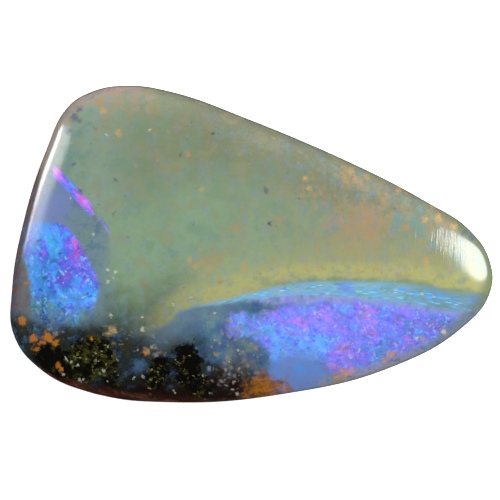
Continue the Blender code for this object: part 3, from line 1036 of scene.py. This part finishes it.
def left_lobe(face, below):
    """The grey halo, the violet bar along it and the lobe of fire inside it."""
    w = face.w
    softness = w.total(0.14, w.product(face.up(1.0, -2.5), 0.6))
    halo = face.edge(w.attribute("halo"), softness, wander=0.2, grain=1.3)
    grey = face.clouded("halo", "teal_grey", "slate", grain=1.4, amount=0.7, depth=0.45)
    out = face.cover(below, grey, halo, 0.85)
    milk = w.held(w.total(w.attribute("milk"), face.drift(1.6, 0.8)), 0.0, 1.0)
    out = face.cover(out, "milk", milk, 0.85)

    line = w.maths("ABSOLUTE", w.attribute("bar"))
    width = w.total(0.09, w.product(face.across(-9.5, -10.0), 0.2))
    bar = face.edge(w.maths("SUBTRACT", width, line), 0.06, wander=0.04, grain=3.0)
    broken = w.total(face.across(-9.6, -9.8), w.product(face.across(-9.45, -9.25), 0.45))
    hue = w.total(0.5, w.attribute("hue"), w.product(w.step(line, 0.14, 0.04), 0.3))
    fire = face.fire(hue, 0.1, grain=4.0, turn=0.8, pale=0.08)
    out = face.cover(out, fire, bar, broken, face.across(-12.4, -12.0))

    softness = w.total(0.14, w.product(face.up(-3.0, -4.5), 0.3))
    lobe = face.edge(w.attribute("lobe"), softness, wander=0.26, grain=2.0)
    hue = w.total(0.45, w.product(w.attribute("hue"), 0.75))
    fire = face.fire(hue, w.total(w.attribute("light"), -0.04), grain=2.6, turn=0.9, pale=0.03)
    low = face.up(0.6, -1.6)
    for first, second, strength, density, added, *look in LOBE_STROKES:
        density = w.total(density, w.product(low, added))
        fire = face.strewn(fire, first, second, strength, density, *look)
    gaps = face.mottle(w.product(face.up(-2.2, -4.6), 0.75), 1.7, 0.16, 19.0)
    fire = face.cover(fire, grey, gaps, 0.7)
    out = face.cover(out, fire, lobe)
    out = face.cover(out, "milk", milk, 0.45)
    strip = w.product(face.across(-13.2, -13.9), face.up(-0.3, -1.3), face.up(-5.0, -3.6))
    brown = face.clouded("ironstone_light", "murk", "smoke", grain=1.6, amount=0.9, depth=0.6)
    return face.cover(out, brown, strip, w.step(w.attribute("lobe"), 0.05, -0.3), 0.6)


def seam_band(face, below):
    """The blue-green band under the seam with its bright threads, and the veil under that."""
    w = face.w
    width = w.held(w.total(w.product(face.x, 0.075), 0.44), 0.2, 1.1)
    down = w.maths("DIVIDE", w.product(face.seam, -1.0), width)
    along = w.joined(face.x, w.total(face.seam, face.drift(1.2, 0.25)), 0.0)
    drawn_out = w.vector("MULTIPLY", along, DRAWN_OUT)
    band = face.clouded("seam_teal", "veil", "sage", grain=1.5, amount=0.6, depth=0.4, place=drawn_out)
    glow = w.attribute("glow")
    tone = w.mix(w.step(glow, -0.1, 0.1), face.shade("azure"), face.shade("periwinkle"))
    lit = face.edge(w.maths("SUBTRACT", w.maths("ABSOLUTE", glow), 0.55), 0.4, wander=0.5, grain=1.6)
    band = face.cover(band, tone, lit, 0.45)
    band = face.cover(band, "halo", face.across(7.0, 12.0), 0.6)
    keen = w.product(w.step(down, 0.1, 0.4), face.across(-2.8, -1.0))
    for first, second, strength, density, brightest, *look in SEAM_THREADS:
        density = w.product(keen, density)
        if brightest is not None:
            away = w.maths("ABSOLUTE", w.total(face.x, -brightest))
            density = w.product(density, w.step(away, 2.6, 0.8))
        band = face.strewn(band, first, second, strength, density, *look, place=along)
    veil = face.clouded("veil", "slate", "violet", grain=1.3, amount=0.45, depth=0.4)
    layer = face.cover(veil, band, w.step(down, 1.25, 0.9))
    fading = w.total(down, face.drift(1.5, 1.2), w.product(face.across(2.0, -1.5), 1.3))
    return face.cover(below, layer, w.step(fading, 2.5, 1.5), face.across(-5.0, -1.2))


def under_seam(face, above):
    """What lies below the seam: clear slate potch, the fire, the haze, and flecks."""
    w = face.w
    height = w.total(face.y, face.drift(0.7, 3.5, 4.0, 0.65))
    clear = face.clouded("slate", "teal_grey", "lake", grain=1.0, amount=0.7, depth=0.5)
    dark = face.clouded("deep", "murk", "slate", grain=1.1, amount=0.75, depth=0.7)
    leftward = w.total(height, w.product(face.x, 0.25), face.across(-3.5, -1.5))
    ground = face.cover(clear, dark, w.step(leftward, -5.2, -7.8))
    pale = w.product(w.step(face.seam, -2.0, -0.2), face.across(-7.0, -5.0), face.across(0.5, -2.0))
    ground = face.cover(ground, "halo", pale, 0.6)
    ground = face.cover(ground, "night", w.step(height, -7.6, -9.2), face.across(1.0, -1.0))
    ground = seam_band(face, ground)

    hue = w.total(0.52, w.product(w.attribute("hue"), 0.8))
    fire = face.fire(hue, w.attribute("light"), grain=3.2, turn=0.75, pale=0.2)
    for strokes in FIRE_STROKES:
        fire = face.strewn(fire, *strokes)
    patch = face.edge(w.attribute("fire"), 0.3, wander=0.45, grain=1.5)
    ground = face.cover(ground, fire, patch, w.step(face.rim_depth, 0.0, 0.3))
    hazy = face.edge(w.maths("SUBTRACT", w.attribute("haze"), 0.6), 0.45, wander=0.25, grain=1.5)
    haze = face.clouded("haze", "milk", "azure", grain=0.8, amount=0.6, depth=0.25)
    ground = face.cover(ground, haze, hazy)

    dense = w.attribute("flecks")
    film = face.clouded("fleck", "murk", "slate", grain=2.0, amount=0.6, depth=0.6)
    ground = face.cover(ground, film, face.mottle(w.product(dense, 0.6), 1.8, 0.25, 5.0), 0.35)
    flecks, _ = face.grains(dense, *GROUND_FLECKS)
    sandy = face.clouded("fleck", "tan", "milk", grain=1.5, amount=0.7, depth=0.8)
    ground = face.cover(ground, sandy, flecks, 0.65)
    ground = face.strewn(ground, "fleck", "cream", 0.75, w.product(dense, 0.35), *GROUND_SPECKS)
    rusty = face.mottle(w.product(w.attribute("rusty"), 0.7), 3.0, 0.12, 9.0)
    orange = face.clouded("flame", "rust", "ironstone", grain=2.0, amount=0.6, depth=0.6)
    ground = face.cover(ground, orange, rusty, 0.8)
    softness = w.total(0.17, w.product(face.across(-4.5, -8.0), 0.45))
    under = face.edge(w.product(face.seam, -1.0), softness, w.product(softness, 0.6), grain=1.6)
    return face.cover(above, ground, under)


def blots(face, below):
    """Black-green blots with olive flecks, and the amber glow beside them."""
    w = face.w
    spread = w.attribute("blots")
    torn = face.drift(4.5, 0.9, roughness=0.6)
    black = face.edge(w.total(spread, -0.45, torn), 0.2, wander=0.5, grain=1.5)
    mossy = w.total(w.product(face.across(-12.8, -9.6), 0.2), w.product(face.across(-6.0, -8.0), 0.22))
    dark = face.cover(face.shade("blot"), "moss", face.mottle(mossy, 1.7, 0.2, 8.0), 0.6)
    out = face.cover(below, dark, black)
    gritty_part = w.product(w.step(spread, 0.25, 0.7), face.across(-12.3, -11.0), face.patchy)
    for density, *look in BLOT_GRIT:
        grit, tint = face.grains(w.product(gritty_part, density), *look)
        out = face.cover(out, w.ramp(tint, face.colours, GRIT_TINTS), grit, 0.7)
    glow = face.mottle(w.attribute("amber"), 1.6, 0.3, 17.0)
    amber = face.clouded("amber", "flame", "ironstone", grain=2.2, amount=0.7, depth=1.4)
    return face.cover(out, amber, glow, 0.9)


def speckled(face, below):
    """The single specks, each set down where it lies."""
    w = face.w
    x, y, _ = w.parts(w.warped(w.joined(face.x, face.y, 0.0), 4.5, 0.55))
    flat = w.joined(x, y, 0.0)
    for name, specks in SPECKS.items():
        nearest_edge = None
        for x, y, radius in specks:
            away = w.node("ShaderNodeVectorMath", operation="DISTANCE")
            w.feed(away.inputs[0], flat)
            w.feed(away.inputs[1], (x, y, 0.0))
            inside = w.maths("SUBTRACT", radius, away.outputs["Value"])
            nearest_edge = inside if nearest_edge is None else w.maths("MAXIMUM", nearest_edge, inside)
        softness = 0.06 if name in CRISP_SPECKS else 0.13
        mask = w.step(nearest_edge, -softness, softness)
        if name in UNEVEN_SPECKS:
            worn = w.step(w.noise(face.place, 3.5, 4.0, 0.7), 0.4, 0.62)
            mask = w.product(mask, w.total(0.5, worn))
        below = face.cover(below, name, mask, 0.8)
    return below


def rim_bands(face, below):
    """The bands inside the rim, and a dark line along the turn of the edge, which is painted shade.

    They are pinkish at the top, lightened there as a painted reflection, and duller along the
    straight side, which is painted shade; dark purplish brown on the left, darkened in part as painted
    shade; green round the narrow end and grey at the lower right.
    """
    w = face.w
    depth = w.total(face.rim_depth, face.drift(0.9, 0.9, 4.0, 0.65))
    along = face.across(-8.0, -5.0)
    # The pinkish band is lightened as a painted reflection; its duller tone along the straight side is
    # painted shade
    tone = w.mix(along, face.shade("rim_pink_and_sheen"), face.shade("painted_shade"))
    pink = face.clouded(tone, "rust", "smoke", grain=1.2, amount=0.5, depth=0.3)
    top = w.step(w.total(depth, w.product(along, 0.4)), 1.1, 0.25)
    out = face.cover(below, pink, top, face.up(0.5, 2.5), 0.8)
    # Ironstone colour along the left rim, darkened in part as painted shade
    plum_and_shade = face.clouded("rim_plum_and_shade", "ironstone_light", "slate", grain=1.3, amount=0.9, depth=0.6)
    left = w.product(w.step(depth, 0.85, 0.35), face.across(-12.6, -13.4), face.up(-5.2, -3.2))
    out = face.cover(out, plum_and_shade, left, 0.85)
    end = w.product(w.step(face.rim_depth, 1.1, 0.2), face.across(11.0, 13.0))
    out = face.cover(out, "rim_green", end, 0.85)
    ash = face.clouded("ash", "fleck", "slate", grain=1.5, amount=0.8, depth=0.4)
    low = w.product(w.step(depth, 1.0, 0.35), face.up(-3.5, -5.0), face.across(2.5, 6.0))
    out = face.cover(out, ash, low, 0.75)
    out = face.cover(out, "slate", low, face.across(9.0, 12.0), 0.5)
    # Painted shade: a dark line along the turn of the edge, where the face bends down to the wall
    return face.cover(out, "dark_ironstone_and_edge_shade", w.step(face.rim_depth, 0.17, 0.02), 0.6)


def ironstone(face):
    """Banded brown rock with thin opal veins."""
    w = face.w
    bands = w.noise(w.vector("MULTIPLY", face.place, BEDDED), 1.4, 5.0, 0.62)
    rock = w.ramp(bands, face.colours, ROCK_BANDS)
    rough = w.step(face.z, 2.1, 1.5)
    crack = w.maths("ABSOLUTE", w.maths("SUBTRACT", w.noise(face.place, 0.4, 2.0, 0.5), 0.5))
    vein = face.clouded("vein", "sage", "periwinkle", grain=1.2, amount=0.8, depth=0.5)
    rock = face.cover(rock, vein, w.step(crack, 0.011, 0.005), rough, face.patchy)
    return face.strewn(rock, "ironstone_light", "tan", 0.35, 0.25, *ROCK_DUST)


def opal_material(colours):
    material = bpy.data.materials.new("opal_and_ironstone")
    material.use_nodes = True
    shader = material.node_tree.nodes["Principled BSDF"]
    face = Face(Wiring(material.node_tree), colours)
    w = face.w

    opal = left_lobe(face, potch(face))
    opal = blots(face, under_seam(face, opal))
    opal = speckled(face, rim_bands(face, opal))
    contact = face.edge(w.attribute("past_contact"), 0.25, wander=0.18, grain=1.4)
    w.feed(shader.inputs["Base Color"], w.mix(contact, ironstone(face), opal))

    ground = w.step(face.z, 1.9, 1.2)
    roughness = w.total(POLISHED, w.product(ground, GROUND - POLISHED))
    w.feed(shader.inputs["Roughness"], roughness)
    shader.inputs["IOR"].default_value = 1.5
    shader.inputs["Specular IOR Level"].default_value = 1.0

    lines = w.noise(w.vector("MULTIPLY", w.turned(w.place(), 0.06), POLISHING_LINES), 1.0, 2.0, 0.6)
    scratched = w.maths("MINIMUM", w.total(0.08, w.attribute("scratches")), 1.0)
    bump = w.node("ShaderNodeBump")
    bump.inputs["Distance"].default_value = SCRATCH_DEPTH * MM
    w.feed(bump.inputs["Height"], w.product(lines, scratched))
    w.feed(shader.inputs["Normal"], bump.outputs[0])
    return material


class OPAL_OT_shape_stone(bpy.types.Operator):
    """Models the stone finely over its solid, and traces where its features lie"""

    bl_idname = "opal.shape_stone"
    bl_label = "Shape the stone"

    def execute(self, context):
        form = context.scene.stone_form
        mesh = unit_sphere("boulder_opal_stone", DOME_RINGS + WALL_RINGS + EDGE_RINGS + BACK_RINGS)
        points = gritty(hollowed(shaped(read_points(mesh), form), form), form)
        write_points(mesh, points * MM)
        mesh.shade_smooth()
        trace_features(mesh, form)
        stone = bpy.data.objects.new("boulder_opal_stone", mesh)
        context.scene.collection.objects.link(stone)
        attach(stone, "root")
        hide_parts(NODE)
        return {"FINISHED"}


class OPAL_OT_colour_stone(bpy.types.Operator):
    """Gives the stone its opal, its seams and its ironstone"""

    bl_idname = "opal.colour_stone"
    bl_label = "Colour the stone"

    def execute(self, context):
        stone = context.scene.objects.get("boulder_opal_stone")
        if stone is None:
            raise RuntimeError("shape the stone before colouring it")
        stone.data.materials.clear()
        stone.data.materials.append(opal_material(context.scene.opal_colours))
        return {"FINISHED"}


def add_table(scene, shade):
    """The pale table under the stone. It glows a little, and isn't mirrored in the stone."""
    bm = bmesh.new()
    bmesh.ops.create_grid(bm, x_segments=1, y_segments=1, size=TABLE_SIZE)
    mesh = bpy.data.meshes.new("table")
    bm.to_mesh(mesh)
    bm.free()
    table = bpy.data.objects.new("table", mesh)
    scene.collection.objects.link(table)
    material = bpy.data.materials.new("table")
    material.use_nodes = True
    shader = material.node_tree.nodes["Principled BSDF"]
    shader.inputs["Base Color"].default_value = (*shade, 1.0)
    shader.inputs["Roughness"].default_value = 0.9
    shader.inputs["Emission Color"].default_value = WHITE
    shader.inputs["Emission Strength"].default_value = TABLE_GLOW
    mesh.materials.append(material)
    table.visible_glossy = False


def add_lamp(scene, name, energy, azimuth, elevation, distance, width, height):
    """An oval lamp at an angle round the stone, facing it. The overhead one isn't mirrored in it."""
    data = bpy.data.lights.new(name, "AREA")
    data.shape = "ELLIPSE"
    data.size = width
    data.size_y = height
    data.energy = energy
    data.color = DAYLIGHT
    lamp = bpy.data.objects.new(name, data)
    turn, rise = math.radians(azimuth), math.radians(elevation)
    place = Vector((math.cos(turn) * math.cos(rise), math.sin(turn) * math.cos(rise), math.sin(rise)))
    lamp.location = place * distance
    lamp.rotation_euler = place.to_track_quat("Z", "Y").to_euler()
    lamp.visible_glossy = name != "overhead"
    scene.collection.objects.link(lamp)


def add_room(scene, strength):
    """The pale room round the stone, dimmer below, overhead and on the near side."""
    world = bpy.data.worlds.new("room")
    world.use_nodes = True
    w = Wiring(world.node_tree)
    _, across, height = w.parts(w.node("ShaderNodeTexCoord").outputs["Generated"])
    pale = w.product(w.step(height, -0.1, 0.15), w.step(height, 0.95, 0.5))
    pale = w.product(pale, w.step(across, -0.5, 0.6))
    pale = w.total(w.product(pale, 1.0 - ROOM_DIMMEST), ROOM_DIMMEST)
    background = world.node_tree.nodes["Background"]
    background.inputs["Color"].default_value = WHITE
    w.feed(background.inputs["Strength"], w.product(pale, strength))
    scene.world = world


def add_camera(scene, stage):
    """The camera above the stone, as far off as the view's width asks for."""
    data = bpy.data.cameras.new("camera")
    data.lens = stage.lens
    data.clip_start = CAMERA_CLIP
    camera = bpy.data.objects.new("camera", data)
    distance = stage.view_width * MM * data.lens / data.sensor_width
    x, y = CAMERA_OVER
    camera.location = (x * MM, y * MM, scene.stone_form.girdle * MM + distance)
    scene.collection.objects.link(camera)
    scene.camera = camera


class OPAL_OT_set_stage(bpy.types.Operator):
    """Sets the pale table, the lamps, the room light and the camera"""

    bl_idname = "opal.set_stage"
    bl_label = "Set the stage"

    def execute(self, context):
        scene = context.scene
        stage = scene.opal_stage
        add_table(scene, stage.table)
        for name, setting, *placing in LAMPS:
            add_lamp(scene, name, getattr(stage, setting), *placing)
        add_room(scene, stage.sky)
        scene.view_settings.view_transform = "Standard"
        add_camera(scene, stage)
        return {"FINISHED"}


class OPAL_PT_sidebar(bpy.types.Panel):
    bl_idname = "OPAL_PT_sidebar"
    bl_label = "Boulder Opal"
    bl_space_type = "VIEW_3D"
    bl_region_type = "UI"
    bl_category = "Opal"

    def draw(self, context):
        for operator, settings in (
            (OPAL_OT_shape_stone, context.scene.stone_form),
            (OPAL_OT_colour_stone, context.scene.opal_colours),
            (OPAL_OT_set_stage, context.scene.opal_stage),
        ):
            box = self.layout.box()
            for name in settings.__annotations__:
                box.prop(settings, name)
            box.operator(operator.bl_idname)


CLASSES = (
    StoneForm, OpalColours, StageSettings,
    OPAL_OT_shape_stone, OPAL_OT_colour_stone, OPAL_OT_set_stage, OPAL_PT_sidebar,
)


def register():
    for cls in CLASSES:
        bpy.utils.register_class(cls)
    bpy.types.Scene.stone_form = bpy.props.PointerProperty(type=StoneForm)
    bpy.types.Scene.opal_colours = bpy.props.PointerProperty(type=OpalColours)
    bpy.types.Scene.opal_stage = bpy.props.PointerProperty(type=StageSettings)


def unregister():
    del bpy.types.Scene.opal_stage
    del bpy.types.Scene.opal_colours
    del bpy.types.Scene.stone_form
    for cls in reversed(CLASSES):
        bpy.utils.unregister_class(cls)


def main():
    register()
    bpy.ops.opal.shape_stone()
    bpy.ops.opal.colour_stone()
    bpy.ops.opal.set_stage()


if __name__ == "__main__":
    main()
